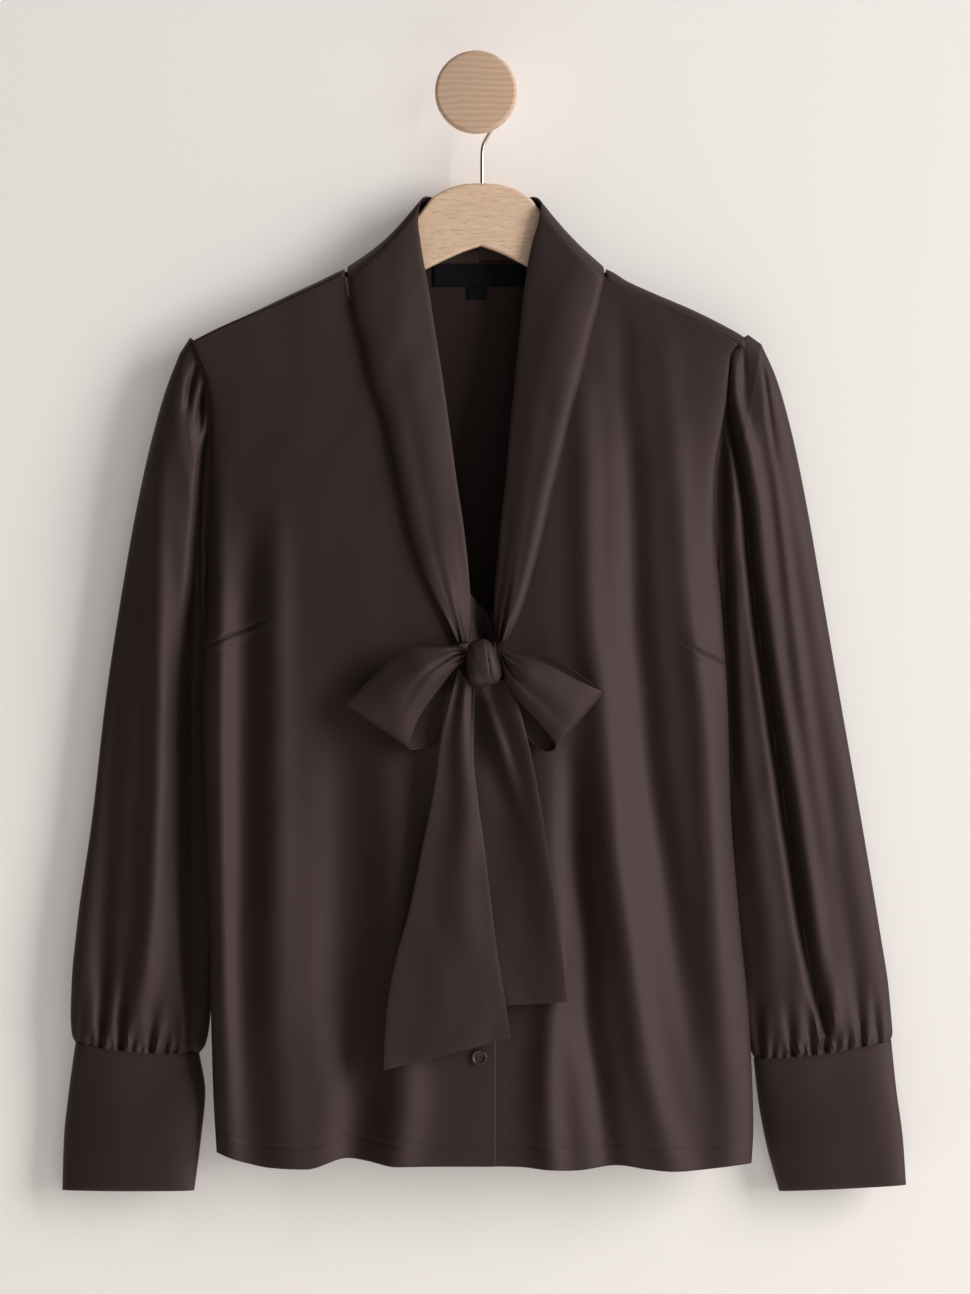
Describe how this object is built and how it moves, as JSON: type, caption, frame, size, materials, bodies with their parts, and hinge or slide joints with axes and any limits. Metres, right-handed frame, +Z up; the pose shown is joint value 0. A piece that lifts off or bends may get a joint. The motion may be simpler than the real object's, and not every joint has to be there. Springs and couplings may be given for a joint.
{
  "type": "tie neck blouse on hanger",
  "caption": "Long-sleeved tie neck blouse in espresso satin crepe on a flat wooden hanger, hung by its wire hook on a round wooden wall knob.",
  "frame": {"origin": "centre of the face of the knob's stem that lies on the wall", "axes": "+X to the viewer's right, +Y towards the wall, +Z up along the longest extent"},
  "size_m": [0.5848, 0.0799, 0.787],
  "materials": {
    "satin_crepe": "satin",
    "beech": "satin",
    "nickel_wire": "satin",
    "black_label": "matte",
    "button_horn": "satin"
  },
  "bodies": {
    "root": {"front_right": "satin_crepe", "front_left": "satin_crepe", "back": "satin_crepe", "sleeve_right": "satin_crepe", "sleeve_left": "satin_crepe", "cuff_right": "satin_crepe", "cuff_left": "satin_crepe", "collar_right": "satin_crepe", "collar_left": "satin_crepe", "knot": "satin_crepe", "bow_loop_right": "satin_crepe", "bow_loop_left": "satin_crepe", "tail_front": "satin_crepe", "tail_back": "satin_crepe", "front_button_1": "button_horn", "front_button_2": "button_horn", "front_button_3": "button_horn", "front_button_4": "button_horn", "cuff_button_right_1": "button_horn", "cuff_button_right_2": "button_horn", "cuff_button_left_1": "button_horn", "cuff_button_left_2": "button_horn", "neck_label": "black_label", "size_tab": "black_label", "hanger_body": "beech", "hanger_hook": "nickel_wire", "wall_knob": "beech"}
  },
  "joints": []
}
